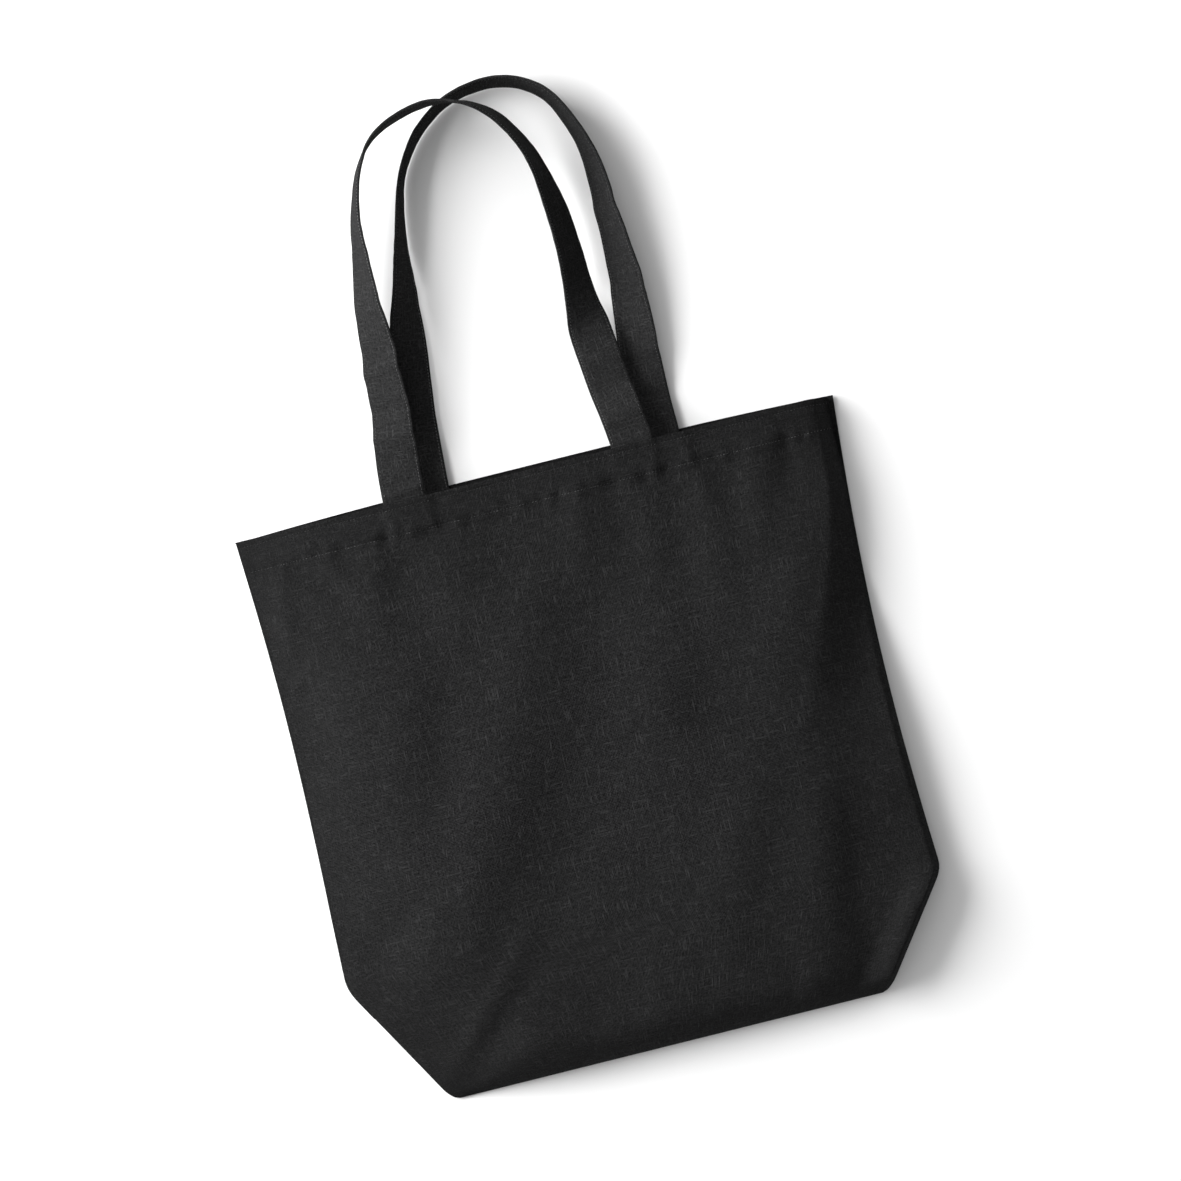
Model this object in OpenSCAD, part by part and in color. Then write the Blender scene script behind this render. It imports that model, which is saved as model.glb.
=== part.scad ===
// Canvas tote bag lying on its back, boxed base folded flat behind it, both handles laid out above.
// X runs along the mouth, +Y from the base to the handles, +Z out of the front. Z = 0 is the surface
// that it lies on. The origin is the middle of the whole outline, bag and handles, on that surface.

/* [Bag body] */
// Width of the mouth, side seam to side seam, as the bag lies
mouth_w = 425; // [415:1:435]
// Height of the front, from the fold at the base to the top edge
body_h = 410; // [400:1:420]
// Width of the boxed base
base_w = 310; // [300:1:320]
// Depth of the boxed base, front to back
base_d = 135; // [130:1:140]
// Height of the left lower corner above the base fold
left_corner_h = 91; // [85:1:95]
// Height of the right lower corner above the base fold
right_corner_h = 74; // [70:1:85]
// How far each side bows in between the mouth and the lower corner
side_bow = 5; // [2:0.5:7]
// How far the right side rolls under, which narrows the front
right_roll = 6; // [3:0.5:8]
// Height of the front panel at the middle of the bag
crown_h = 38; // [36:0.5:42]
// Height of the front panel at the middle of the mouth
mouth_h = 27; // [26:0.5:29]
// How far the back's top edge shows above the front's
back_rise = 3.5; // [1:0.5:5]
// Thickness of the canvas
cloth_t = 1; // [0.8:0.1:1]

/* [Hems and seams] */
// Depth of the hem round the mouth
hem_h = 24; // [20:1:28]
// Distance of the upper row of stitches from the top edge
top_row = 4; // [3:0.5:6]
// Distance of the lower row of stitches from the top edge
hem_row = 22.5; // [18:0.5:23]
// Width of the turned and overlocked seam allowances
allowance_w = 10; // [8:1:12]

/* [Handles] */
// Width of the handle straps
strap_w = 30; // [28:0.5:30]
// Thickness of the handle straps, four layers of canvas
strap_t = 2.4; // [2:0.1:2.4]
// Height of the hinge line, where the straps start to bend, above the top edge
bend_h = 12; // [12:0.5:14]
// Distance of the strap's stitches from its edges
strap_row = 2; // [1.5:0.1:3]

/* [Hidden] */

canvas = [0.13, 0.13, 0.13];
canvas_inside = [0.2, 0.2, 0.2];
strap_black = [0.09, 0.09, 0.09];
thread_black = [0.35, 0.35, 0.35];

// Clearance between neighbouring layers of cloth
gap = 0.2;
// Thickness of a turned hem, two layers pressed together
hem_t = 1.4;
// Thickness of an overlocked seam allowance
allowance_t = 1.2;
// Width of a row of stitches, and how far it stands proud
thread_w = 0.6;
thread_proud = 0.2;
// Radius that rounds the lower corners of the outline
corner_r = 9;
// Height of the back panel's own hem above the surface it lies on
back_lift = 0.9;
// Space that a loop leaves above the line where the strap bends, and its sewn end below it
strap_gap = 0.4;
end_gap = 1.6;
// How far the tip of a sewn end is cut back
end_cut = 2;
half_depth = base_d / 2;

// Smooth step from 0 at a to 1 at b
function ease(a, b, v) = let (s = min(max((v - a) / (b - a), 0), 1)) s * s * (3 - 2 * s);
function mix(a, b, s) = a + (b - a) * s;
// The smaller of a and b, rounded over a width k where they cross
function soft_min(a, b, k) = let (h = max(k - abs(a - b), 0) / k) min(a, b) - h * h * k / 4;

// Half width of the outline, at a height t above the base fold
function half_w(t, corner_h, roll) =
    let (
        base_half = base_w / 2 + (roll > 0 ? -3 : 3),
        corner_half = mouth_w / 2 - roll,
        slant = mix(base_half, corner_half, t / corner_h),
        rise = min(max((t - corner_h) / (body_h - corner_h), 0), 1),
        side = mix(corner_half, mouth_w / 2, pow(rise, 2.2)) - side_bow * sin(180 * pow(rise, 0.9)),
        low = max(1 - t / corner_r, 0)
    )
    soft_min(slant, side, corner_r) - 0.6 * corner_r * (1 - sqrt(1 - low * low));
function left_x(t) = -half_w(t, left_corner_h, 0);
function right_x(t) = half_w(t, right_corner_h, right_roll);
// X at a share q of the width, from -1 at the left side to 1 at the right
function x_at(q, t, inset = 0) = mix(left_x(t) + inset, right_x(t) - inset, (q + 1) / 2);

// Underside of the back panel: it lies over the folded base, then on the surface, then lifts at its hem
function back_z(t) = 3.7 * (1 - ease(140, 175, t)) + back_lift * ease(350, 384, t);
// Underside of the front panel along its edge
function edge_z(t) = mix(cloth_t + gap, back_z(t) + cloth_t + allowance_t + 2 * gap, ease(8, 80, t));
// Rise of the front panel from its edge to the middle of the bag, across and up the bag
function across(q) = pow(max(0, 1 - pow(abs(q), 3.4)), 0.7);
function crown(t) =
    mix(crown_h, mouth_h, ease(230, 410, t)) * pow(sin(90 * min(t / 95, 1)), 0.75);
function front_z(q, t) =
    edge_z(t) + cloth_t + max(0, crown(t) - edge_z(t) - cloth_t) * across(q);

// Stations across and up the panels, closer together where they curve most
function stations(n) = [for (i = [0:n]) sin(90 * (2 * i / n - 1))];
function heights(n, a, b) = [for (i = [0:n]) a + (b - a) * (1 - cos(90 * i / n))];

// Two triangles for the quad a, b, c, d
function tris(quads) = [for (s = quads, k = [1, 2]) [s[0], s[k], s[k + 1]]];

// A closed sheet between two grids of points, the rows running up Y and the columns along X
module sheet(upper, lower) {
    rows = len(upper);
    cols = len(upper[0]);
    n = rows * cols;
    last = (rows - 1) * cols;
    points = concat([for (r = upper, p = r) p], [for (r = lower, p = r) p]);
    quads = concat(
        [for (i = [0:rows - 2], j = [0:cols - 2]) let (a = i * cols + j) [a, a + cols, a + cols + 1, a + 1]],
        [for (i = [0:rows - 2], j = [0:cols - 2]) let (a = n + i * cols + j) [a, a + 1, a + cols + 1, a + cols]],
        [for (j = [0:cols - 2]) [n + j, j, j + 1, n + j + 1]],
        [for (j = [0:cols - 2]) [n + last + j + 1, last + j + 1, last + j, n + last + j]],
        [for (i = [0:rows - 2]) let (a = i * cols) [n + a + cols, a + cols, a, n + a]],
        [for (i = [0:rows - 2]) let (a = i * cols + cols - 1) [n + a, a, a + cols, n + a + cols]]
    );
    polyhedron(points = points, faces = tris(quads));
}

// ---- Panels ----

module front_panel() {
    qs = stations(24);
    ts = heights(24, 0, body_h);
    color(canvas) sheet(
        [for (t = ts) [for (q = qs) [x_at(q, t), y_base + t, front_z(q, t)]]],
        [for (t = ts) [for (q = qs) [x_at(q, t), y_base + t, front_z(q, t) - cloth_t]]]
    );
}

// Heights of the back panel's rows of points, from its crease to its top edge
back_rows = [for (i = [0:22]) mix(half_depth, body_h, i / 22)];

// The back panel, from its crease behind the base up to its own top edge
module back_panel() {
    qs = stations(14);
    ts = back_rows;
    function back_y(q, t) = y_base + t + back_rise * (1 - pow(abs(q), 3)) * ease(body_h - 60, body_h, t);
    color(canvas) sheet(
        [for (t = ts) [for (q = qs) [x_at(q, t, 0.5), back_y(q, t), back_z(t) + cloth_t]]],
        [for (t = ts) [for (q = qs) [x_at(q, t, 0.5), back_y(q, t), back_z(t)]]]
    );
}

// The folded base as it lies: its two long edges, and a corner at each end where the side seam turns in
module base_outline(low, high, inset) {
    left_base = left_x(corner_r) + inset;
    right_base = right_x(corner_r) - inset;
    left_tip = left_x(left_corner_h) + inset;
    right_tip = right_x(right_corner_h) - inset;
    intersection() {
        polygon([
            [left_base + corner_r / 2, 0],
            [right_base - corner_r / 2, 0],
            [right_base, corner_r],
            [right_tip, right_corner_h],
            [right_base, base_d],
            [left_base, base_d],
            [left_tip, left_corner_h],
            [left_base, corner_r]
        ]);
        translate([-mouth_w / 2, low]) square([mouth_w, high - low]);
    }
}

module base_panel() {
    color(canvas) translate([0, y_base, 0]) linear_extrude(cloth_t) base_outline(0, base_d, 0.5);
}

// The lowest strip of the back panel, folded down between the base and the rest of the back
module back_tuck() {
    z = cloth_t + allowance_t + 2 * gap;
    color(canvas_inside) translate([0, y_base, z])
        linear_extrude(cloth_t - gap) base_outline(half_depth, base_d - 0.5, 1.5);
}

// ---- Hems and seams ----

// A strip of one hem, between two stations across the mouth
hem_inset = 14;
module hem_strip(upper_z, thick) {
    qs = stations(24);
    ts = [body_h - hem_h, body_h - hem_h / 2, body_h - 0.4];
    sheet(
        [for (t = ts) [for (q = qs) let (x = x_at(q, t, hem_inset)) [x, y_base + t, upper_z(x, t)]]],
        [for (t = ts) [for (q = qs) let (x = x_at(q, t, hem_inset)) [x, y_base + t, upper_z(x, t) - thick]]]
    );
}

// Share of the width at a given x
function q_at(x, t) = 2 * (x - left_x(t)) / (right_x(t) - left_x(t)) - 1;
function hem_under(x, t) = front_z(q_at(x, t), t) - cloth_t - gap;

module front_hem() {
    color(canvas_inside) hem_strip(function(x, t) hem_under(x, t), hem_t);
}

module back_hem() {
    color(canvas_inside) hem_strip(function(x, t) back_z(t) + cloth_t + gap + hem_t, hem_t);
}

// A turned seam allowance inside one side, from the lower corner up to the hem
module side_seam(side, corner_h) {
    ts = [for (t = back_rows) if (t > corner_h + 6 && t < body_h - hem_h - 1) t];
    function edge(t) = side < 0 ? left_x(t) + 1.5 : right_x(t) - 1.5 - allowance_w;
    function z(t) = back_z(t) + cloth_t + gap;
    color(canvas_inside) sheet(
        [for (t = ts) [for (s = [0, 1]) [edge(t) + s * allowance_w, y_base + t, z(t) + allowance_t - gap / 2]]],
        [for (t = ts) [for (s = [0, 1]) [edge(t) + s * allowance_w, y_base + t, z(t)]]]
    );
}

module left_side_seam() side_seam(-1, left_corner_h);
module right_side_seam() side_seam(1, right_corner_h);

// The seam across one boxed corner, inside the base
corner_inset = 4;
corner_start = 12;
module corner_seam(x) {
    color(canvas_inside) translate([x, y_base + corner_start, cloth_t + gap])
        cube([allowance_w, base_d - corner_start - 3, allowance_t - gap / 2]);
}

module left_corner_seam() corner_seam(left_x(corner_r) + corner_inset);
module right_corner_seam() corner_seam(right_x(corner_r) - corner_inset - allowance_w);

// The seam that joins the two panels along the middle of the base
module base_seam() {
    x0 = left_x(corner_r) + corner_inset + allowance_w + gap;
    x1 = right_x(corner_r) - corner_inset - allowance_w - gap;
    color(canvas_inside) translate([x0, y_base + half_depth - allowance_w / 2, cloth_t + gap])
        cube([x1 - x0, allowance_w, allowance_t - gap / 2]);
}

// ---- Handles ----

// Each handle's middle line, as x, height above the top edge, z, and the turn of the strap from flat
front_route = [
    [-92, 0, 20.5, 0],
    [-90.5, 24, 20.5, 1],
    [-88.5, 45, 23.5, 26],
    [-87, 70, 26, 36],
    [-84, 105, 30, 45],
    [-82.5, 140, 34.5, 57],
    [-81, 170, 39, 70],
    [-76.5, 200, 43.5, 82],
    [-67, 228, 47, 90],
    [-50, 249, 48.5, 90],
    [-17, 260.5, 49, 84],
    [10, 256.5, 48, 81],
    [31, 243, 44, 79],
    [44.5, 223, 38, 77],
    [53, 200, 32, 74],
    [58, 170, 26, 64],
    [60, 140, 22.5, 50],
    [60, 110, 20.5, 30],
    [61, 75, 20.5, 10],
    [65.5, 38, 20.5, 2],
    [67.5, 24, 20.5, 0],
    [70, 0, 20.5, 0]
];
back_route = [
    [-75, 0, 5.2, 0],
    [-73.7, 24, 5.2, 0],
    [-72, 42, 6.6, 13],
    [-70, 58, 8, 22],
    [-65, 85, 11, 38],
    [-60.5, 112, 14, 54],
    [-56, 142, 15.5, 67],
    [-51, 175, 16, 78],
    [-45, 203, 16, 88],
    [-37, 223, 16, 90],
    [-23, 243, 16, 90],
    [-5, 257, 16, 88],
    [14, 264, 16, 85],
    [35, 266, 16, 83],
    [54, 261, 16, 82],
    [69, 250, 16, 81],
    [79, 234, 16, 80],
    [87, 212, 16, 78],
    [91, 185, 15.5, 69],
    [92.5, 150, 14.5, 61],
    [93.5, 115, 13, 50],
    [91.5, 80, 10.8, 38],
    [89.5, 55, 8, 24],
    [88.7, 38, 6.2, 11],
    [88.5, 24, 5.2, 0],
    [89, 0, 5.2, 0]
];
front_z0 = front_route[0][2];
back_z0 = back_route[0][2];

// A smooth curve through the points p, at span i and share s of it
function spline(p, i, s) =
    let (
        last = len(p) - 1,
        a = p[max(i - 1, 0)],
        b = p[i],
        c = p[min(i + 1, last)],
        d = p[min(i + 2, last)]
    )
    b + (c - a) * s / 2 + (2 * a - 5 * b + 4 * c - d) * s * s / 2 + (3 * b - a - 3 * c + d) * s * s * s / 2;
steps = 3;
function samples(p) = concat(
    [for (i = [0:len(p) - 2], k = [0:steps - 1]) spline(p, i, k / steps)],
    [p[len(p) - 1]]
);

// The part of a route above the line where the strap bends, starting and ending just clear of it
function above(p, h) =
    [for (i = [0:len(p) - 1]) p[i][1] < h ? [p[i][0], h, p[i][2], p[i][3]] : p[i]];

function unit(v) = v / norm(v);

// The four corners of the strap's section: w across the strap, t through it, s its shift across
function section(p, ahead, lean, w, t, s) =
    let (
        along = unit([ahead[0], ahead[1], ahead[2]]),
        inward = unit([along[1], -along[0], 0]),
        wide = cos(p[3]) * inward + [0, 0, lean * sin(p[3])],
        through = cross(along, wide),
        middle = [p[0], p[1], p[2]] + s * wide
    )
    [for (c = [[-1, -1], [1, -1], [1, 1], [-1, 1]]) middle + c[0] * w / 2 * wide + c[1] * t / 2 * through];

// The rings of a strap along its route, measured up from the top edge; both ends start square to it
function rings(route, lean, w, t, s) =
    let (all = samples(above(route, bend_h + strap_gap)), last = len(all) - 1)
    [
        for (i = [0:last])
            let (ahead = i == 0 ? [0, 1, 0] : i == last ? [0, -1, 0] : all[i + 1] - all[i - 1])
            section(all[i], ahead, lean, w, t, s)
    ];

// Height of the top of the back handle's arch above the top edge, which sets the origin
arch_h = max([for (r = rings(back_route, -1, strap_w, strap_t, 0), p = r) p[1]]);
y_base = -(body_h + arch_h) / 2;
y_top = y_base + body_h;

// A strap swept along a route: lean is 1 if its inner edge turns up, -1 if it turns down
module strap(route, lean, w, t, s) {
    swept = rings(route, lean, w, t, s);
    n = len(swept);
    quads = concat(
        [for (i = [0:n - 2], k = [0:3]) let (a = 4 * i, b = (k + 1) % 4) [a + k, a + 4 + k, a + 4 + b, a + b]],
        [[0, 1, 2, 3]],
        [let (a = 4 * (n - 1)) [a + 3, a + 2, a + 1, a]]
    );
    translate([0, y_top, 0])
        polyhedron(points = [for (r = swept, p = r) p], faces = tris(quads));
}

module front_handle() color(strap_black) strap(front_route, 1, strap_w, strap_t, 0);
module back_handle() color(strap_black) strap(back_route, -1, strap_w, strap_t, 0);

// Both rows of stitches along a handle's edges, right through the strap
module handle_rows(route, lean) {
    for (side = [-1, 1])
        color(thread_black)
            strap(route, lean, thread_w, strap_t + 2 * thread_proud, side * (strap_w / 2 - strap_row));
}

module front_handle_stitching() handle_rows(front_route, 1);
module back_handle_stitching() handle_rows(back_route, -1);

// The sewn end of a handle, from inside the hem up to the bend. Its tip is cut back on the side that
// the loop folds to: 1 for the front, -1 for the back
module strap_end(x, z, side) {
    length = hem_h - 1 + bend_h - end_gap;
    half = strap_t / 2;
    color(strap_black) translate([x - strap_w / 2, y_top - hem_h + 1, z]) rotate([90, 0, 90])
        linear_extrude(strap_w)
            polygon([
                [0, -side * half], [length, -side * half],
                [length, side * (half - end_cut)], [length - end_cut, side * half], [0, side * half]
            ]);
}

module front_handle_left_end() strap_end(front_route[0][0], front_z0, 1);
module front_handle_right_end() strap_end(front_route[len(front_route) - 1][0], front_z0, 1);
module back_handle_left_end() strap_end(back_route[0][0], back_z0, -1);
module back_handle_right_end() strap_end(back_route[len(back_route) - 1][0], back_z0, -1);

// ---- Rows of stitches round the mouth ----

// A row of stitches across the mouth, from the outer face z_out to the inner face z_in
module mouth_row(below_top, z_out, z_in, qs) {
    ts = [body_h - below_top - thread_w / 2, body_h - below_top + thread_w / 2];
    color(thread_black) sheet(
        [for (t = ts) [for (q = qs) let (x = x_at(q, t, hem_inset)) [x, y_base + t, max(z_out(x, t), z_in(x, t))]]],
        [for (t = ts) [for (q = qs) let (x = x_at(q, t, hem_inset)) [x, y_base + t, min(z_out(x, t), z_in(x, t))]]]
    );
}

module front_row(below_top) {
    mouth_row(
        below_top,
        function(x, t) front_z(q_at(x, t), t) + thread_proud,
        function(x, t) hem_under(x, t) - hem_t - thread_proud / 2,
        stations(24)
    );
}

module back_row(below_top) {
    mouth_row(
        below_top,
        function(x, t) back_z(t) - thread_proud,
        function(x, t) back_z(t) + cloth_t + gap + hem_t + thread_proud / 2,
        stations(8)
    );
}

module front_top_stitching() front_row(top_row);
module front_hem_stitching() front_row(hem_row);
module back_top_stitching() back_row(top_row);
module back_hem_stitching() back_row(hem_row);

front_panel();
back_panel();
back_tuck();
base_panel();
front_hem();
back_hem();
left_side_seam();
right_side_seam();
left_corner_seam();
right_corner_seam();
base_seam();
front_handle();
back_handle();
front_handle_left_end();
front_handle_right_end();
back_handle_left_end();
back_handle_right_end();
front_top_stitching();
front_hem_stitching();
back_top_stitching();
back_hem_stitching();
front_handle_stitching();
back_handle_stitching();
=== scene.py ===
"""Canvas tote bag laid flat on its back, its boxed base folded behind it and both handles laid out.

Lengths are in metres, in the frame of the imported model: X along the mouth, +Y from the base to the
handles, +Z out of the front panel, and Z = 0 is the surface that the bag lies on.
"""
import math

import bmesh
import bpy
from mathutils import Matrix, Vector, noise


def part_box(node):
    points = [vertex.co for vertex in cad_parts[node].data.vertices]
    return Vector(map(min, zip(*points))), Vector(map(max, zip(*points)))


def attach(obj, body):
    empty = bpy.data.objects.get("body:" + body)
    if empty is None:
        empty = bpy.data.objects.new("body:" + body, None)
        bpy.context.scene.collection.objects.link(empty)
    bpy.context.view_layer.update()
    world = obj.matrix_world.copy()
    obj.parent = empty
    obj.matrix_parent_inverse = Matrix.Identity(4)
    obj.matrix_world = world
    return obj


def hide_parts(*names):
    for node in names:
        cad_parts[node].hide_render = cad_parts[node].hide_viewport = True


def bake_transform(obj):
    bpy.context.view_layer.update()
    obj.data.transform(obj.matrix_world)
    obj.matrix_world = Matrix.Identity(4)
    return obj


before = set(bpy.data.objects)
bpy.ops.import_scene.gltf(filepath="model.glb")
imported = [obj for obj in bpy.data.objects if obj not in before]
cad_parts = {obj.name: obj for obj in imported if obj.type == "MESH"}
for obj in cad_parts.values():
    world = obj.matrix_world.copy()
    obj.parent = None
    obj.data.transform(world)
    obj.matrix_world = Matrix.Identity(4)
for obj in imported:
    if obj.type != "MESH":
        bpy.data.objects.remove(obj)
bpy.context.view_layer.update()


# ---- Front panel -----------------------------------------------------------------------------------
# One cut of black cotton canvas, the whole front of the bag. It crowns up off the table, rolls under
# at the base fold and the slanted lower corners, and is held down by the side seams.
MM = 0.001
panel_low, panel_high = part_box("front_panel")
Y_BASE, Y_TOP = panel_low.y, panel_high.y
BODY_H = Y_TOP - Y_BASE
MOUTH_HALF = (panel_high.x - panel_low.x) / 2
CLOTH_T = 0.9 * MM
THREAD_PITCH = 0.85 * MM
HEM_ROW = 22.5 * MM
TOP_ROW = 4 * MM
# Each side of the outline: height of the lower corner, half widths at the base and at that corner,
# how far the side bows in, and where up the side it bows most
LEFT_SIDE = (91 * MM, 160 * MM, 212.5 * MM, 4.3 * MM, 1.2)
RIGHT_SIDE = (74 * MM, 151.5 * MM, 206 * MM, 5 * MM, 0.95)
# Soft folds in the cloth, each a line from one point to another: x from the middle, depth below the
# top edge, the same for its far end, then its half width and its height, all in millimetres
FOLDS = [
    # Off the top left corner and the hem
    (-166, 40, -168, 250, 24, 3.5),
    (-188, 26, -194, 92, 8, 2.4), (-204, 112, -176, 92, 4, 1.6), (-176, 28, -146, 58, 7, -2.6),
    (-160, 22, -136, 60, 6, 1.8), (-122, 24, -136, 110, 12, 2.2), (-100, 26, -100, 106, 13, -1.2),
    (-66, 26, -80, 120, 14, 1.0), (-36, 24, -34, 90, 13, -0.9), (24, 22, 14, 92, 11, 1.7),
    (46, 24, 50, 84, 11, -1.3), (70, 26, 66, 96, 12, 0.9), (90, 36, 80, 132, 15, -1.8),
    (104, 0, 112, 56, 5, 1.5), (114, 26, 104, 140, 14, 1.6), (130, 22, 128, 60, 8, -1.0),
    (153, 20, 138, 96, 12, 2.8), (174, 14, 170, 56, 8, -2.0),
    # The broad ridge and hollow that slant across the middle, and their lesser neighbours
    (-24, 70, -62, 190, 28, 3.6), (-62, 190, -150, 330, 30, 5.2), (26, 80, 6, 190, 34, -2.4),
    (6, 190, -66, 310, 36, -3.6), (-112, 90, -156, 240, 18, 1.8), (-96, 130, -132, 290, 15, -1.6),
    (60, 110, 40, 230, 26, 1.8), (84, 150, 70, 260, 22, -1.4), (170, 80, 126, 190, 20, 3.4),
    # Down to the base and out to the lower corners
    (92, 250, 20, 400, 24, 3.4), (146, 250, 112, 404, 14, 1.3), (158, 262, 138, 410, 9, -1.0),
    (206, 322, 158, 400, 16, 2.0), (40, 340, 22, 404, 10, -1.4), (0, 350, -12, 404, 14, 1.2),
    (-162, 398, -76, 306, 9, 1.7), (-148, 402, -84, 340, 10, -1.9), (-126, 404, -66, 372, 10, 1.2),
    (-196, 316, -150, 262, 12, -1.5), (-60, 404, -40, 360, 10, -1.0), (80, 404, 96, 372, 8, -1.1),
]
# Where the strap ends are caught under the hem: the middle of each along X, and half its width
STRAP_ENDS = [(-91 * MM, 15 * MM), (69 * MM, 15 * MM)]


def ease(a, b, v):
    """From 0 to 1 as v goes from a to b, starting and ending gently."""
    s = min(max((v - a) / (b - a), 0.0), 1.0)
    return s * s * (3 - 2 * s)


def mix(a, b, s):
    """From a to b as s goes from 0 to 1."""
    return a + (b - a) * s


def soft_min(a, b, k):
    """The smaller of two values, with the corner between them rounded over a range k."""
    h = max(k - abs(a - b), 0.0) / k
    return min(a, b) - h * h * k / 4


def half_width(t, side):
    """Half width of the outline on one side, at a height t above the base fold."""
    corner_h, base_half, corner_half, bow, shape = side
    rise = min(max((t - corner_h) / (BODY_H - corner_h), 0.0), 1.0)
    slant = mix(base_half, corner_half, t / corner_h)
    straight = mix(corner_half, MOUTH_HALF, rise ** 2.2) - bow * math.sin(math.pi * rise ** shape)
    low = max(1 - t / (9 * MM), 0.0)
    return soft_min(slant, straight, 5 * MM) - 5 * MM * (1 - math.sqrt(1 - low * low))


def left_x(t):
    return -half_width(t, LEFT_SIDE)


def right_x(t):
    return half_width(t, RIGHT_SIDE)


def edge_z(t):
    """Height of the side seams and base fold above the table."""
    return mix(2.2 * MM, 5.2 * MM, ease(4 * MM, 70 * MM, t)) - 2.2 * MM * ease(140 * MM, 190 * MM, t)


def crown(t):
    """Height of the front at the middle of the bag, a height t above the base fold."""
    rolled = (1 - (1 - min(t / (27 * MM), 1)) ** 2.3) ** 0.5
    return mix(34 * MM, 26.6 * MM, ease(0.56, 1.0, t / BODY_H)) * rolled


# Stations down the right side, in millimetres: depth below the top edge, where the crown turns down
# to the edge, over what half width, and the share of its height that is left beyond the turn
RIGHT_TURN = [
    (0, 205, 8, 0.0), (60, 203, 9, 0.0), (100, 197, 13, 0.1), (150, 182, 18, 0.32), (195, 167, 22, 0.52),
    (225, 158, 30, 0.66), (260, 152, 30, 0.68), (300, 147, 26, 0.64), (350, 132, 28, 0.66), (410, 118, 28, 0.68),
]


def across(x, t):
    """Share of the crown reached at x: a long slope up from the left, a steep turn down on the right."""
    v = (BODY_H - t) / MM
    left = math.sin(math.pi / 2 * min(max((x - left_x(t)) / (98 * MM), 0.0), 1.0)) ** 0.82
    for above, below in zip(RIGHT_TURN, RIGHT_TURN[1:]):
        if v <= below[0] or below is RIGHT_TURN[-1]:
            share = min(max((v - above[0]) / (below[0] - above[0]), 0.0), 1.0)
            _, middle, wide, low = (mix(p, q, share) for p, q in zip(above, below))
            break
    turn = mix(low, 1.0, ease(middle + wide, middle - wide, x / MM))
    near = min(max((right_x(t) - x) / (6 * MM), 0.0), 1.0)
    return left * turn * (1 - (1 - near) ** 2.2) ** 0.6


def fold_height(x, v):
    """Height added by the soft folds at x, a depth v below the top edge, both in millimetres."""
    total = 0.0
    for x0, v0, x1, v1, wide, height in FOLDS:
        dx, dv = x1 - x0, v1 - v0
        length2 = dx * dx + dv * dv
        s = ((x - x0) * dx + (v - v0) * dv) / length2
        if s < -0.25 or s > 1.25:
            continue
        off = ((x - x0) * dv - (v - v0) * dx) / math.sqrt(length2)
        if abs(off) > 3 * wide:
            continue
        ends = ease(-0.25, 0.3, s) * ease(1.25, 0.55, s) if s > 0.5 else ease(-0.25, 0.3, s)
        total += height * ends * math.exp(-(off / wide) ** 2)
    return total


def ripple(x, y, size, seed):
    """Smooth seeded noise from -1 to 1, with waves of about the given size."""
    return noise.noise(Vector((x / size, y / size, seed)))


def front_z(x, t):
    """Height of the front panel's outer face above the table."""
    rise = across(x, t)
    z = edge_z(t) + max(crown(t) - edge_z(t), 0) * rise
    v = BODY_H - t
    inner = min(x - left_x(t), right_x(t) - x, t)
    free = ease(0, 14 * MM, inner)
    z += MM * fold_height(x / MM, v / MM) * free
    z += free * (1.5 * MM * ripple(x, t, 58 * MM, 3.1) + 0.4 * MM * ripple(x, t, 23 * MM, 7.7))
    # Puckers along the seams and under the hem, which die away within a couple of centimetres
    seam = math.exp(-max(inner, 0) / (9 * MM)) * ease(0, 3 * MM, inner)
    z += 1.6 * MM * seam * ripple(x * 0.3, t, 10 * MM, 1.3)
    hem = math.exp(-((v - HEM_ROW) / (7 * MM)) ** 2)
    z += hem * free * (2.2 * MM * ripple(x, t * 0.35, 7 * MM, 5.2) + 1.1 * MM * ripple(x, t * 0.2, 19 * MM, 2.2))
    # The turned hem lies under the top of the panel, and its two rows of stitches pull it down
    z += 0.8 * MM * ease(26.5 * MM, 23.5 * MM, v)
    z -= 1.0 * MM * math.exp(-((v - HEM_ROW) / (1.2 * MM)) ** 2)
    z -= 0.7 * MM * math.exp(-((v - TOP_ROW) / (1.0 * MM)) ** 2)
    for middle, half in STRAP_ENDS:
        over = ease(half + 4 * MM, half - 1 * MM, abs(x - middle))
        z += 1.7 * MM * over * ease(25 * MM, 20.5 * MM, v)
        for corner in (-1, 1):
            dent = ((x - middle - corner * (half + 4 * MM)) / (6 * MM)) ** 2
            z -= 2.2 * MM * math.exp(-dent - ((v - 23 * MM) / (4.5 * MM)) ** 2)
    # The lower right corner, which lifts a little towards its slanted edge
    lift = (1 - ease(5 * MM, 30 * MM, right_x(t) - x)) * ease(0, 5 * MM, right_x(t) - x)
    z += 10 * MM * lift * ease(88 * MM, 55 * MM, t) * ease(2 * MM, 12 * MM, t)
    # The top right corner, which curls over
    z -= 7 * MM * ease(178 * MM, 212 * MM, x) ** 2 * ease(75 * MM, 10 * MM, v)
    z = max(z, edge_z(t) - 1.2 * MM)
    return z


def top_drop(x):
    """How far the top edge falls away from straight: a little everywhere, and round the right corner."""
    return 1.6 * MM * ease(192 * MM, 213 * MM, x) + 0.35 * MM * (1 + ripple(x, 0, 30 * MM, 9.1))


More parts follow.
